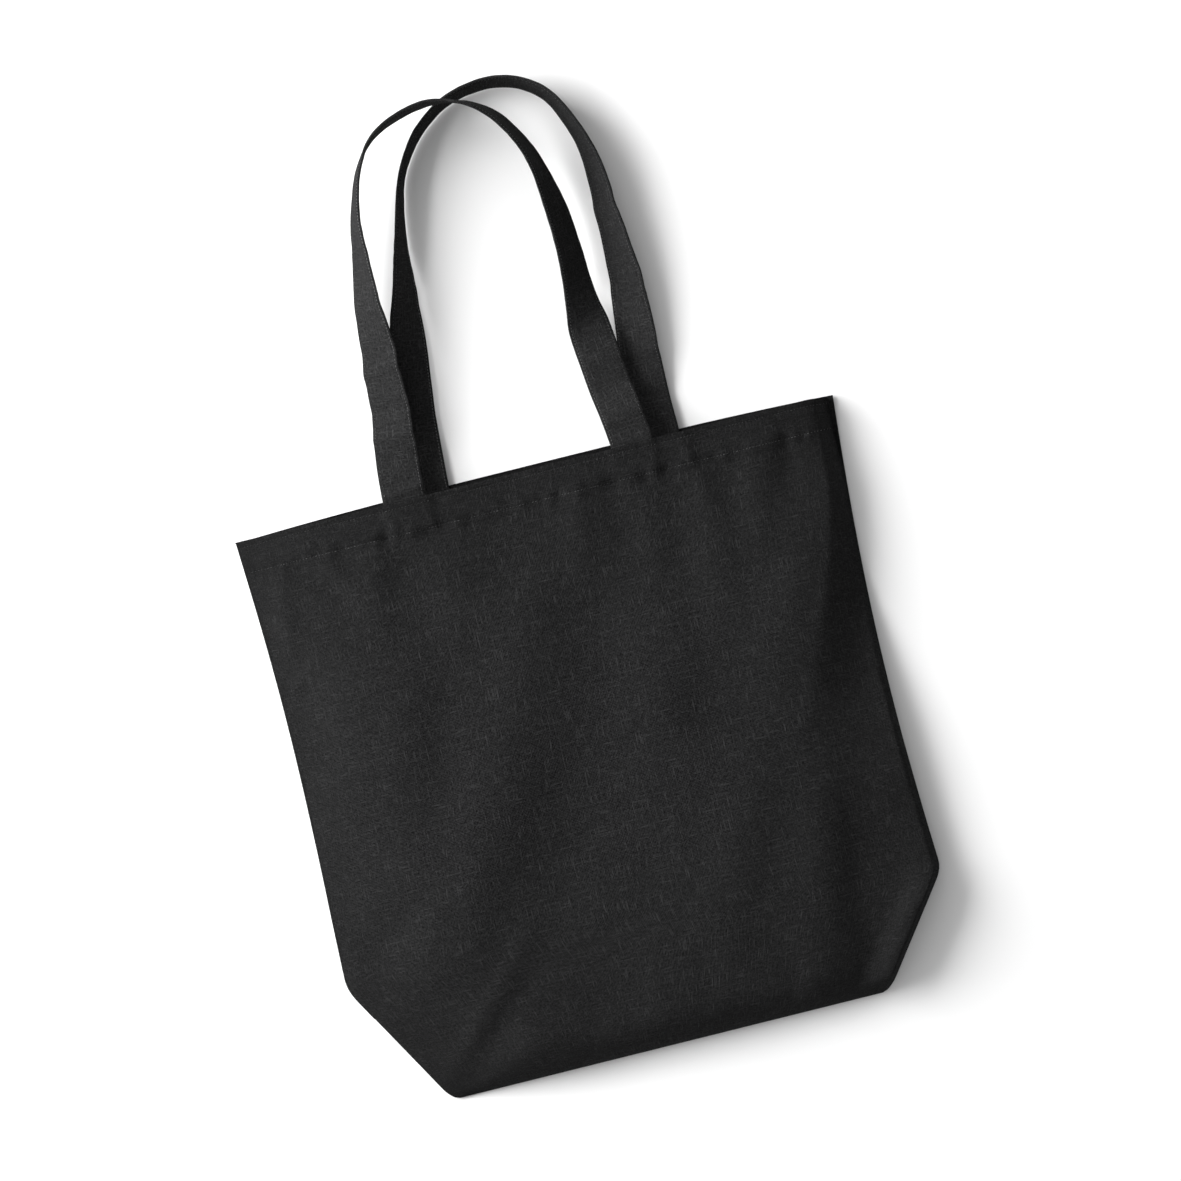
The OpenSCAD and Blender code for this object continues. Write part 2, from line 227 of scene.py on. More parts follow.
def cloth_grid(cols, rows, width, length, place):
    """A grid of cloth whose own flat size is kept as its UV map, each point put in place by a function."""
    bm = bmesh.new()
    uv = bm.loops.layers.uv.new("cloth")
    bmesh.ops.create_grid(bm, x_segments=cols, y_segments=rows, size=0.5)
    for face in bm.faces:
        for loop in face.loops:
            co = loop.vert.co
            loop[uv].uv = ((co.x + 0.5) * width, (co.y + 0.5) * length)
    for vert in bm.verts:
        vert.co = place(vert.co.x + 0.5, vert.co.y + 0.5)
    return bm


def make_piece(name, bm, material, outward=None):
    """A named object from a bmesh, shaded smooth; outward is a direction that its faces should take."""
    bm.normal_update()
    if outward is not None:
        facing = sum((f.normal * f.calc_area() for f in bm.faces), Vector())
        if facing.dot(outward) < 0:
            bmesh.ops.reverse_faces(bm, faces=bm.faces)
    mesh = bpy.data.meshes.new(name)
    bm.to_mesh(mesh)
    bm.free()
    mesh.shade_smooth()
    piece = bpy.data.objects.new(name, mesh)
    bpy.context.scene.collection.objects.link(piece)
    mesh.materials.append(material)
    return piece


def thicken(piece, thickness, offset):
    solid = piece.modifiers.new("thickness", "SOLIDIFY")
    solid.thickness = thickness
    solid.offset = offset
    solid.use_even_offset = False


class Nodes:
    """Short names for the shader nodes that the cloth and thread materials are made of."""

    def __init__(self, name):
        self.material = bpy.data.materials.new(name)
        self.material.use_nodes = True
        self.tree = self.material.node_tree
        self.shader = self.tree.nodes["Principled BSDF"]

    def put(self, value, socket):
        if isinstance(value, bpy.types.NodeSocket):
            self.tree.links.new(value, socket)
        else:
            socket.default_value = value

    def math(self, kind, a, b=0.0):
        node = self.tree.nodes.new("ShaderNodeMath")
        node.operation = kind
        self.put(a, node.inputs[0])
        self.put(b, node.inputs[1])
        return node.outputs[0]

    def ramp(self, value, low, high, to_low, to_high):
        node = self.tree.nodes.new("ShaderNodeMapRange")
        for socket, amount in zip(node.inputs, (value, low, high, to_low, to_high)):
            self.put(amount, socket)
        return node.outputs[0]

    def mottle(self, vector, scale, detail, roughness=0.5):
        node = self.tree.nodes.new("ShaderNodeTexNoise")
        self.put(vector, node.inputs["Vector"])
        node.inputs["Scale"].default_value = scale
        node.inputs["Detail"].default_value = detail
        node.inputs["Roughness"].default_value = roughness
        return node.outputs["Fac"]

    def stretched(self, vector, x, y, z):
        node = self.tree.nodes.new("ShaderNodeVectorMath")
        node.operation = "MULTIPLY"
        self.put(vector, node.inputs[0])
        node.inputs[1].default_value = (x, y, z)
        return node.outputs[0]

    def blend(self, share, a, b):
        node = self.tree.nodes.new("ShaderNodeMix")
        node.data_type = "RGBA"
        self.put(share, node.inputs["Factor"])
        self.put(a, node.inputs["A"])
        self.put(b, node.inputs["B"])
        return node.outputs["Result"]


def canvas(name, dark, light, pitch, relief=1.0):
    """Plain-woven cotton canvas: two sets of threads that pass over and under, with slubs and fluff."""
    n = Nodes(name)
    uv = n.tree.nodes.new("ShaderNodeUVMap")
    uv.uv_map = "cloth"
    place = uv.outputs["UV"]
    object_place = n.tree.nodes.new("ShaderNodeTexCoord").outputs["Object"]
    split = n.tree.nodes.new("ShaderNodeSeparateXYZ")
    n.put(place, split.inputs[0])
    wander_x = n.math("MULTIPLY", n.math("SUBTRACT", n.mottle(n.stretched(place, 60, 420, 1), 1, 2), 0.5), 0.9)
    wander_y = n.math("MULTIPLY", n.math("SUBTRACT", n.mottle(n.stretched(place, 420, 60, 1), 1, 2), 0.5), 0.9)
    warp = n.math("ADD", n.math("DIVIDE", split.outputs[0], pitch), wander_x)
    weft = n.math("ADD", n.math("DIVIDE", split.outputs[1], pitch), wander_y)
    fw, ff = n.math("FRACT", warp), n.math("FRACT", weft)
    over = n.math("PINGPONG", n.math("ADD", n.math("FLOOR", warp), n.math("FLOOR", weft)), 1)
    dome_w = n.math("SINE", n.math("MULTIPLY", fw, math.pi))
    dome_f = n.math("SINE", n.math("MULTIPLY", ff, math.pi))
    warp_up = n.math("MULTIPLY", n.math("POWER", dome_w, 0.6), n.math("ADD", n.math("MULTIPLY", dome_f, 0.7), 0.3))
    weft_up = n.math("MULTIPLY", n.math("POWER", dome_f, 0.6), n.math("ADD", n.math("MULTIPLY", dome_w, 0.7), 0.3))
    weave = n.math("ADD", n.math("MULTIPLY", warp_up, over),
                   n.math("MULTIPLY", weft_up, n.math("SUBTRACT", 1.0, over)))
    slub_w = n.ramp(n.mottle(n.stretched(place, 1150, 90, 1), 1, 1), 0.56, 0.78, 0, 1)
    slub_f = n.ramp(n.mottle(n.stretched(place, 90, 1150, 1), 1, 1), 0.56, 0.78, 0, 1)
    slubs = n.math("MAXIMUM", slub_w, slub_f)
    fluff = n.mottle(object_place, 900, 3, 0.65)
    patches = n.mottle(object_place, 26, 4, 0.55)
    grain = n.mottle(place, 620, 2, 0.7)
    height = n.math("ADD", n.math("MULTIPLY", weave, 0.7),
                    n.math("ADD", n.math("MULTIPLY", slubs, 0.8),
                           n.math("ADD", n.math("MULTIPLY", fluff, 0.7), n.math("MULTIPLY", grain, 1.3))))
    bump = n.tree.nodes.new("ShaderNodeBump")
    bump.inputs["Distance"].default_value = 0.0006 * relief
    bump.inputs["Strength"].default_value = 1.0
    n.put(height, bump.inputs["Height"])
    n.put(bump.outputs[0], n.shader.inputs["Normal"])
    tone = n.math("ADD", n.math("MULTIPLY", weave, 0.26),
                  n.math("ADD", n.math("MULTIPLY", fluff, 0.2),
                         n.math("ADD", n.math("MULTIPLY", grain, 0.5),
                                n.math("ADD", n.math("MULTIPLY", slubs, 0.25), n.math("MULTIPLY", patches, 0.08)))))
    n.put(n.blend(n.ramp(tone, 0.36, 0.76, 0, 1), (*dark, 1), (*light, 1)), n.shader.inputs["Base Color"])
    n.shader.inputs["Roughness"].default_value = 0.9
    n.shader.inputs["Specular IOR Level"].default_value = 0.02
    return n.material


black_canvas = canvas("black_canvas", (0.003, 0.003, 0.0031), (0.034, 0.034, 0.0345), THREAD_PITCH)

PANEL_COLS, PANEL_ROWS = 200, 196
CURL = 4


def spread(i, count, curl, amount):
    """Share of the way along for row i, curl rows left out at both ends and the rest closer at the ends."""
    u = min(max((i - curl) / (count - 2 * curl), 0.0), 1.0)
    return mix(u, (1 - math.cos(math.pi * u)) / 2, amount)


def front_point(s, r):
    """A point of the front panel, at shares s across and r up; the outermost rows go down to the seams."""
    i, j = round(s * PANEL_COLS), round(r * PANEL_ROWS)
    t = BODY_H * spread(j, PANEL_ROWS, CURL, 0.45)
    side = -1 if s < 0.5 else 1
    corner = LEFT_SIDE[0] if side < 0 else RIGHT_SIDE[0]
    below = ease(corner + 8 * MM, corner - 8 * MM, t)
    turn = mix(1.2 * MM, (edge_z(t) - 0.5 * MM) / 2, below)
    x = mix(left_x(t) + turn, right_x(t) - turn, spread(i, PANEL_COLS, CURL, 0.6))
    z = front_z(x, t)
    y = Y_BASE + t - top_drop(x) * ease(30 * MM, 0, BODY_H - t)
    curl = max(CURL - i, i - (PANEL_COLS - CURL), 0) / CURL
    if curl:
        last = mix(math.pi / 2, math.pi, below)
        end = mix(edge_z(t) - turn, 0.5 * MM, below)
        x += side * turn * math.sin(curl * last)
        z -= (z - end) * (1 - math.cos(curl * last)) / (1 - math.cos(last))
    curl = max(CURL - j, 0) / CURL
    if curl:
        fold = (edge_z(0) - 0.5 * MM) / 2
        y += fold * (1 - math.sin(curl * math.pi))
        z -= fold * (1 - math.cos(curl * math.pi))
    curl = max(j - (PANEL_ROWS - CURL), 0) / CURL
    if curl:
        y += 0.5 * MM * math.sin(curl * math.pi * 0.85)
        z -= 0.5 * MM * (1 - math.cos(curl * math.pi * 0.85))
    # At the very corners both rolls meet, and the cloth lies on the base
    in_corner = j < CURL and not CURL <= i <= PANEL_COLS - CURL
    return Vector((x, y, max(z, (1.4 if in_corner else 0.5) * MM)))


panel_bm = cloth_grid(PANEL_COLS, PANEL_ROWS, 445 * MM, 425 * MM, front_point)
front_panel = make_piece("front_panel_canvas", panel_bm, black_canvas, Vector((0, 0, 1)))
thicken(front_panel, CLOTH_T, -1)
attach(front_panel, "bag")
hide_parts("front_panel")


def on_front(x, t, depth):
    """Point that far under the front panel's outer face, and the direction out of the face there."""
    e = MM
    slope_x = (front_z(x + e, t) - front_z(x - e, t)) / (2 * e)
    slope_y = (front_z(x, min(t + e, BODY_H)) - front_z(x, t - e)) / (min(t + e, BODY_H) - t + e)
    out = Vector((-slope_x, -slope_y, 1)).normalized()
    y = Y_BASE + t - top_drop(x) * ease(30 * MM, 0, BODY_H - t)
    return Vector((x, y, front_z(x, t))) - out * depth, out


# ---- Front hem -------------------------------------------------------------------------------------
# The top of the front panel, turned to the inside and pressed flat: a band 24 mm deep just behind the
# edge of the mouth, sewn down in two rows.
HEM_H = 24 * MM
HEM_T = 1.2 * MM
# The same black canvas with its light tone lowered from 0.034 to 0.02: painted shade for the inside of the mouth,
# where the back hem lies in the front panel's shadow. The hems and seam allowances use it too.
inside_canvas = canvas("inside_canvas", (0.003, 0.003, 0.0031), (0.02, 0.02, 0.0204), THREAD_PITCH)


def front_hem_point(s, r):
    t = BODY_H + 0.3 * MM - (1 - r) * HEM_H
    x = mix(left_x(t) + 9 * MM, right_x(t) - 12 * MM, s)
    return on_front(x, min(t, BODY_H), CLOTH_T + 0.15 * MM + HEM_T / 2)[0] + Vector((0, max(t - BODY_H, 0), 0))


front_hem = make_piece("front_hem_canvas", cloth_grid(120, 8, 425 * MM, HEM_H, front_hem_point), inside_canvas,
                       Vector((0, 0, 1)))
thicken(front_hem, HEM_T, 0)
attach(front_hem, "bag")
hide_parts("front_hem")

# ---- Back panel ------------------------------------------------------------------------------------
# The second cut of canvas, which the bag lies on. It shows past the front's top edge and through the
# mouth. Its lowest strip is folded up behind the base.
BACK_COLS, BACK_ROWS = 90, 104
HALF_BASE = 67.5 * MM
back_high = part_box("back_panel")[1]
BACK_RISE = back_high.y - Y_TOP


def back_z(x, t):
    """Height of the back panel's outer face above the table."""
    over_base = 3.3 * MM * ease(175 * MM, 138 * MM, t)
    hem_lift = 0.9 * MM * ease(350 * MM, 384 * MM, t)
    inner = min(x - left_x(t), right_x(t) - x)
    seam = 0.9 * MM * ease(14 * MM, 0, inner)
    return over_base + hem_lift + seam + 0.25 * MM * (1 + ripple(x, t, 40 * MM, 4.4)) * ease(0, 20 * MM, inner)


def back_edge_y(x, t):
    rise = BACK_RISE * (1 - abs(x / MOUTH_HALF) ** 3) - 0.6 * MM
    return Y_BASE + t + rise * ease(BODY_H - 60 * MM, BODY_H, t)


def back_point(s, r):
    i, j = round(s * BACK_COLS), round(r * BACK_ROWS)
    t = mix(HALF_BASE, BODY_H, min(max((j - 3) / (BACK_ROWS - 3), 0.0), 1.0))
    x = mix(left_x(t) + 1.1 * MM, right_x(t) - 1.1 * MM, spread(i, BACK_COLS, 2, 0.3))
    y = back_edge_y(x, t)
    z = back_z(x, t) + CLOTH_T / 2
    curl = max(2 - i, i - (BACK_COLS - 2), 0) / 2
    if curl:
        x += (-1 if s < 0.5 else 1) * 0.9 * MM * math.sin(curl * math.pi / 2)
        z += 0.9 * MM * (1 - math.cos(curl * math.pi / 2))
    curl = max(3 - j, 0) / 3
    if curl:
        y += 0.65 * MM * (1 - math.sin(curl * math.pi))
        z -= 0.65 * MM * (1 - math.cos(curl * math.pi))
    return Vector((x, y, z))


back_panel = make_piece("back_panel_canvas", cloth_grid(BACK_COLS, BACK_ROWS, 445 * MM, 345 * MM, back_point),
                        black_canvas, Vector((0, 0, -1)))
thicken(back_panel, CLOTH_T, 0)
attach(back_panel, "bag")
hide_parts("back_panel")

# ---- Back hem --------------------------------------------------------------------------------------
# The top of the back panel, turned to the inside like the front's. It shows through the open mouth, in the darker
# inside canvas that paints the shade there.


def back_hem_point(s, r):
    t = BODY_H - 0.3 * MM - (1 - r) * HEM_H
    x = mix(left_x(t) + 9 * MM, right_x(t) - 9 * MM, s)
    z = back_z(x, t) + CLOTH_T + HEM_T / 2 + 0.1 * MM + 0.25 * MM * (1 + ripple(x, t * 0.4, 12 * MM, 8.8))
    return Vector((x, back_edge_y(x, t), z))


back_hem = make_piece("back_hem_canvas", cloth_grid(110, 8, 425 * MM, HEM_H, back_hem_point), inside_canvas,
                      Vector((0, 0, 1)))
thicken(back_hem, HEM_T, 0)
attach(back_hem, "bag")
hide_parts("back_hem")

# ---- Base ------------------------------------------------------------------------------------------
# The boxed base, folded flat behind the bag. It is the lower ends of both panels, joined by a seam
# along its middle, and by one across each end. Its ends fold out to the slanted corners.
BASE_D = 2 * HALF_BASE


def base_x(t, side):
    """Edge of the folded base on one side, a height t above the front's base fold."""
    corner_h = (LEFT_SIDE if side < 0 else RIGHT_SIDE)[0]
    outline = left_x if side < 0 else right_x
    if t < corner_h:
        return outline(t) - side * 1.0 * MM
    return mix(outline(corner_h), outline(9 * MM), (t - corner_h) / (BASE_D - corner_h)) - side * 1.0 * MM


def groove(offset, wide):
    """A bump of height 1 that fades away within a few half widths."""
    return math.exp(-(offset / wide) ** 2)


def base_point(s, r):
    t = mix(0.8 * MM, BASE_D - 1.3 * MM, r)
    x = mix(base_x(t, -1), base_x(t, 1), spread(round(s * 120), 120, 0, 0.2))
    z = CLOTH_T / 2 + 0.15 * MM * (1 + ripple(x, t, 34 * MM, 6.1))
    z += 0.5 * MM * max(groove(t - HALF_BASE, 1.2 * MM), groove(x - left_x(9 * MM) - 4 * MM, 1.2 * MM),
                        groove(x - right_x(9 * MM) + 4 * MM, 1.2 * MM))
    return Vector((x, Y_BASE + t, z))


base_panel = make_piece("base_panel_canvas", cloth_grid(120, 60, 415 * MM, BASE_D, base_point), black_canvas,
                        Vector((0, 0, -1)))
thicken(base_panel, CLOTH_T, 0)
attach(base_panel, "bag")
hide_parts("base_panel")

# ---- Back tuck -------------------------------------------------------------------------------------
# The lowest strip of the back panel. It rolls over the far edge of the base and comes back down between
# the base and the rest of the back.
TUCK_ROWS = 40


def tuck_point(s, r):
    j = round(r * TUCK_ROWS)
    t = mix(HALF_BASE + 0.7 * MM, BASE_D - 1.3 * MM, min(max(j / (TUCK_ROWS - 6), 0.0), 1.0))
    x = mix(base_x(t, -1) + 1.5 * MM * ease(BASE_D, BASE_D - 20 * MM, t),
            base_x(t, 1) - 1.5 * MM * ease(BASE_D, BASE_D - 20 * MM, t), s)
    y, z = Y_BASE + t, 2.95 * MM
    curl = max(j - (TUCK_ROWS - 6), 0) / 6
    if curl:
        y += 1.2 * MM * math.sin(curl * math.pi)
        z -= 1.2 * MM * (1 - math.cos(curl * math.pi))
    return Vector((x, y, z))


back_tuck = make_piece("back_tuck_canvas", cloth_grid(90, TUCK_ROWS, 415 * MM, HALF_BASE, tuck_point), black_canvas,
                       Vector((0, 0, 1)))
thicken(back_tuck, 0.8 * MM, 0)
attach(back_tuck, "bag")
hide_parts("back_tuck")

# ---- Side seams ------------------------------------------------------------------------------------
# The raw edges of both panels, sewn together, turned to the inside and overlocked. Each allowance is
# 10 mm wide and lies on the back panel, from the lower corner up to the hem.
ALLOWANCE_W = 10 * MM
ALLOWANCE_T = 1.0 * MM
thread = Nodes("black_thread")
thread_place = thread.tree.nodes.new("ShaderNodeTexCoord").outputs["Object"]
twist = thread.mottle(thread_place, 2600, 2)
thread.put(thread.blend(thread.ramp(twist, 0.3, 0.7, 0, 1), (0.05, 0.05, 0.0505, 1), (0.18, 0.18, 0.182, 1)),
           thread.shader.inputs["Base Color"])
thread.shader.inputs["Roughness"].default_value = 0.6
thread.shader.inputs["Specular IOR Level"].default_value = 0.12


def stitch(place, along, up, length, width):
    """Where one stitch goes: a short rounded length of thread, lying on the cloth."""
    side = up.cross(along).normalized()
    turn = Matrix((side, along.cross(side), along)).transposed().to_4x4()
    return Matrix.Translation(place) @ turn @ Matrix.Diagonal((width / 2, width / 2, length / 2, 1))


def thread_piece(name, stitches):
    """One piece made of many stitches, each a copy of the same small rounded shape."""
    bm = bmesh.new()
    bmesh.ops.create_uvsphere(bm, u_segments=6, v_segments=4, radius=1)
    shape = [v.co.copy() for v in bm.verts]
    while len(bm.verts) < len(shape) * len(stitches):
        bmesh.ops.duplicate(bm, geom=bm.verts[:] + bm.edges[:] + bm.faces[:])
    bm.verts.ensure_lookup_table()
    bmesh.ops.delete(bm, geom=bm.verts[len(shape) * len(stitches):], context="VERTS")
    for k, vert in enumerate(bm.verts):
        vert.co = stitches[k // len(shape)] @ shape[k % len(shape)]
    piece = make_piece(name, bm, thread.material)
    return piece


def make_seam(name, node, length, edge, inward):
    """A seam allowance along edge(share), lying to one side of it, with overlock thread round its raw edge."""
    rows = round(length / (5 * MM))

    def place(s, r):
        wave = 0.35 * MM * s * (1 + ripple(r * length, 0, 9 * MM, length * 90))
        return edge(r) + inward * ALLOWANCE_W * s + Vector((0, 0, wave))

    seam = make_piece(name, cloth_grid(4, rows, ALLOWANCE_W, length, place), inside_canvas, Vector((0, 0, 1)))
    thicken(seam, ALLOWANCE_T, 0)
    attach(seam, "bag")
    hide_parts(node)
    loops = []
    count = round(length / (2.6 * MM))
    for k in range(count):
        r = (k + 0.5) / count
        along = (edge(min(r + 0.01, 1)) - edge(max(r - 0.01, 0))).normalized()
        for face in (-1, 1):
            lean = (inward + along * 0.35 * face).normalized()
            spot = place(0.72, r) + Vector((0, 0, face * ALLOWANCE_T / 2))
            loops.append(stitch(spot, lean, Vector((0, 0, face)), 5 * MM, 0.4 * MM))
        loops.append(stitch(place(1.0, r) + inward * 0.1 * MM, along, inward, 2.2 * MM, 0.5 * MM))
    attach(thread_piece(name + "_overlock", loops), "bag")


def side_edge(side):
    corner_h = (LEFT_SIDE if side < 0 else RIGHT_SIDE)[0]
    outline = left_x if side < 0 else right_x

    def edge(r):
        t = mix(corner_h + 8 * MM, BODY_H - HEM_H - 2 * MM, r)
        x = outline(t) - side * 1.6 * MM
        return Vector((x, Y_BASE + t, back_z(x - side * 5 * MM, t) + CLOTH_T + ALLOWANCE_T / 2 + 0.15 * MM))

    return edge


make_seam("left_side_seam_allowance", "left_side_seam", 285 * MM, side_edge(-1), Vector((1, 0, 0)))
make_seam("right_side_seam_allowance", "right_side_seam", 302 * MM, side_edge(1), Vector((-1, 0, 0)))

# ---- Corner seams ----------------------------------------------------------------------------------
# The seam across each end of the boxed base, on the inside, where the corner of the bag is squared off.


def corner_edge(side):
    x = (left_x if side < 0 else right_x)(9 * MM) - side * 4 * MM
    return lambda r: Vector((x, Y_BASE + mix(12 * MM, BASE_D - 3.5 * MM, r), 1.75 * MM))


make_seam("left_corner_seam_allowance", "left_corner_seam", 119 * MM, corner_edge(-1), Vector((1, 0, 0)))
make_seam("right_corner_seam_allowance", "right_corner_seam", 119 * MM, corner_edge(1), Vector((-1, 0, 0)))

# ---- Base seam -------------------------------------------------------------------------------------
# The seam that joins the two panels along the middle of the base, between the two corner seams.


def base_edge(r):
    x = mix(left_x(9 * MM) + 15 * MM, right_x(9 * MM) - 15 * MM, r)
    return Vector((x, Y_BASE + HALF_BASE - ALLOWANCE_W / 2, 1.75 * MM))


make_seam("base_seam_allowance", "base_seam", 292 * MM, base_edge, Vector((0, 1, 0)))

# ---- Handles ---------------------------------------------------------------------------------------
# Two straps of canvas, each folded into four layers, 30 mm wide, and sewn along both edges. The ends
# are caught inside the hems. A strap lies flat at the hem and turns to stand on its edge at the arch.
STRAP_W = 30 * MM
STRAP_T = 2.4 * MM
STRAP_ROW = 2 * MM
STITCH_PITCH = 2.3 * MM
SEWN_END = 25 * MM
# Points along the middle of each strap: x, height above the top edge, z, and its turn from flat
FRONT_ROUTE = [
    (-92, -23, 21.6, 0), (-92, 0, 21.6, 0), (-90.5, 24, 20.7, 1), (-88, 45, 22.5, 18), (-86, 70, 25, 28),
    (-84.5, 105, 29, 38), (-83, 140, 34, 55), (-80.5, 170, 39, 69), (-76.5, 200, 43.5, 80),
    (-67, 228, 47, 85), (-50, 249, 48.5, 93), (-17, 260.5, 49, 95), (10, 256.5, 48, 87), (31, 243, 44, 78),
    (44.5, 223, 38, 75), (53, 200, 31, 70), (58, 170, 24.5, 60), (60, 140, 21, 55), (60, 118, 18, 50),
    (60, 99, 16.5, 36), (61, 80, 15, 8), (64.5, 45, 17.5, 3), (67.5, 24, 20.7, 0), (70, 0, 21.6, 0),
    (70, -23, 21.6, 0),
]
BACK_ROUTE = [
    (-75, -23, 5.2, 0), (-75, 0, 5.2, 0), (-73.7, 24, 5.2, 0), (-72.5, 42, 6, 6), (-71, 58, 7, 13),
    (-67.5, 85, 9, 18), (-62.2, 112, 12.5, 39), (-57, 142, 15.5, 60), (-51, 175, 16, 77), (-45, 203, 16, 83),
    (-37, 223, 16, 84), (-23, 243, 16, 82), (-5, 257, 16, 81), (14, 264, 16, 80), (35, 266, 16, 79),
    (54, 261, 16, 79), (69, 250, 16, 79), (79, 234, 16, 77), (87, 212, 16, 74), (91, 185, 15.5, 66),
    (92.5, 150, 14, 58), (93, 115, 11.5, 44), (91.5, 80, 8.8, 28), (89.5, 55, 6.6, 14), (88.7, 38, 5.6, 5),
    (88.5, 24, 5.2, 0), (89, 0, 5.2, 0), (89, -23, 5.2, 0),
]
# Soft creases across each strap, where the cloth has been bent: distance along the strap from its first
# sewn end, how far out of its face the crease goes, and over what half width
FRONT_CREASES = [
    (29, 1.8, 2.2), (52, -1.2, 6), (68, 1.9, 4.5), (86, -1.3, 6), (114, 1.3, 4.5), (128, -0.9, 6), (160, 0.7, 8),
    (560, 1.3, 7), (584, -1.4, 6), (604, 1.5, 4.5), (632, -1.3, 6), (650, 1.4, 4.5), (671, 1.5, 2.5),
]
BACK_CREASES = [(90, 0.7, 8), (150, -0.7, 9), (470, 1.2, 8), (520, -1.1, 8), (572, 1.4, 6), (604, -1.2, 7)]


def spline(p, i, s):
    """Point and turn at share s of the span after point i, on a smooth curve through all of them."""
    a, b, c, d = (Vector(p[min(max(i + k, 0), len(p) - 1)]) for k in (-1, 0, 1, 2))
    return b + (c - a) * (s / 2) + (2 * a - 5 * b + 4 * c - d) * (s * s / 2) + (3 * b - a - 3 * c + d) * (s ** 3 / 2)


class Strap:
    """The path of one strap: where it is, which way is across it and which way is out of its face."""

    def __init__(self, route, lean):
        fine = [spline(route, i, k / 16) for i in range(len(route) - 1) for k in range(16)]
        fine.append(Vector(route[-1]))
        self.points = [Vector((p[0] * MM, Y_TOP + p[1] * MM, p[2] * MM)) for p in fine]
        self.turns = [math.radians(p[3]) for p in fine]
        self.lean = lean
        self.runs = [0.0]
        for a, b in zip(self.points, self.points[1:]):
            self.runs.append(self.runs[-1] + (b - a).length)
        self.length = self.runs[-1]

    def at(self, run):
        """Middle, direction along, across towards the loop's inside, and out of the face, at a run."""
        run = min(max(run, 0.0), self.length - 1e-6)
        lo, hi = 0, len(self.runs) - 1
        while hi - lo > 1:
            half = (lo + hi) // 2
            lo, hi = (half, hi) if self.runs[half] <= run else (lo, half)
        share = (run - self.runs[lo]) / (self.runs[hi] - self.runs[lo])
        middle = self.points[lo].lerp(self.points[hi], share)
        turn = mix(self.turns[lo], self.turns[hi], share)
        along = (self.points[min(lo + 2, len(self.points) - 1)] - self.points[max(lo - 1, 0)]).normalized()
        inward = Vector((along.y, -along.x, 0)).normalized()
        wide = inward * math.cos(turn) + Vector((0, 0, self.lean * math.sin(turn)))
        wide = (wide - along * wide.dot(along)).normalized()
        return middle, along, wide, wide.cross(along)


def strap_section(s):
    """Across and through, in metres, at a share s round the strap's section, with soft rolled edges."""
    round_r = STRAP_T / 2
    flat = STRAP_W - 2 * round_r
    total = 2 * flat + 2 * math.pi * round_r
    d = (s % 1.0) * total
    if d < flat:
        w, n = -flat / 2 + d, round_r
    elif d < flat + math.pi * round_r:
        angle = (d - flat) / round_r
        w, n = flat / 2 + round_r * math.sin(angle), round_r * math.cos(angle)
    elif d < 2 * flat + math.pi * round_r:
        w, n = flat / 2 - (d - flat - math.pi * round_r), -round_r
    else:
        angle = (d - 2 * flat - math.pi * round_r) / round_r
        w, n = -flat / 2 - round_r * math.sin(angle), -round_r * math.cos(angle)
    pressed = 0.55 * math.exp(-((abs(w) - (STRAP_W / 2 - STRAP_ROW)) / (0.9 * MM)) ** 2)
    plump = 1 + 0.1 * math.exp(-((abs(w) - STRAP_W / 2 + 0.6 * MM) / (0.8 * MM)) ** 2)
    return w, n * (1 - pressed) * plump


STRAP_AROUND = 44


def strap_soft(run, w, seed, creases):
    """How far the strap's cloth strays from flat, out of its face."""
    stray = 0.22 * ripple(run, w * 0.6, 7 * MM, seed) + 0.5 * ripple(run, w * 0.5, 30 * MM, seed + 4)
    for place, height, wide in creases:
        off = run / MM - place - 0.12 * w / MM
        if abs(off) < 3 * wide:
            stray += height * math.exp(-(off / wide) ** 2)
    return stray * MM


def strap_mesh(strap, seed, creases):
    rows = round(strap.length / (2.4 * MM))

    def place(s, r):
        run = r * strap.length
        middle, along, wide, out = strap.at(run)
        w, n = strap_section(s)
        return middle + wide * w + out * (n + strap_soft(run, w, seed, creases))

    bm = cloth_grid(STRAP_AROUND, rows, 2 * (STRAP_W + STRAP_T), strap.length, place)
    bmesh.ops.remove_doubles(bm, verts=bm.verts, dist=1e-7)
    bmesh.ops.holes_fill(bm, edges=[e for e in bm.edges if e.is_boundary], sides=0)
    bmesh.ops.recalc_face_normals(bm, faces=bm.faces)
    return bm


def strap_rows(strap, seed, creases):
    """Both rows of stitches of a strap, on both of its faces."""
    stitches = []
    count = int((strap.length - 2 * SEWN_END) / STITCH_PITCH)
    for k in range(count):
        run = SEWN_END + (k + 0.5) * STITCH_PITCH
        middle, along, wide, out = strap.at(run)
        for w in (STRAP_ROW - STRAP_W / 2, STRAP_W / 2 - STRAP_ROW):
            for face in (-1, 1):
                n = strap_soft(run, w, seed, creases) + face * (STRAP_T / 2 * 0.58)
                stitches.append(stitch(middle + wide * w + out * n, along, out * face, 1.75 * MM, 0.72 * MM))
    return stitches


strap_canvas = canvas("strap_canvas", (0.004, 0.004, 0.0041), (0.046, 0.046, 0.0467), THREAD_PITCH, 0.9)
for handle_name, route, lean, seed, creases in (("front_handle", FRONT_ROUTE, 1, 11.3, FRONT_CREASES),
                                                ("back_handle", BACK_ROUTE, -1, 23.9, BACK_CREASES)):
    strap = Strap(route, lean)
    piece = make_piece(handle_name + "_strap", strap_mesh(strap, seed, creases), strap_canvas)
    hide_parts(handle_name, handle_name + "_left_end", handle_name + "_right_end")
    rows = thread_piece(handle_name + "_stitches", strap_rows(strap, seed, creases))
    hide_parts(handle_name + "_stitching")
    for part in (piece, rows):
        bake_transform(part)

# ---- Stitches round the mouth ----------------------------------------------------------------------
# Two rows through each panel and its hem: one just under the mouth's edge, one at the hem's lower
# edge. The thread shows as short dashes on both sides of the cloth.


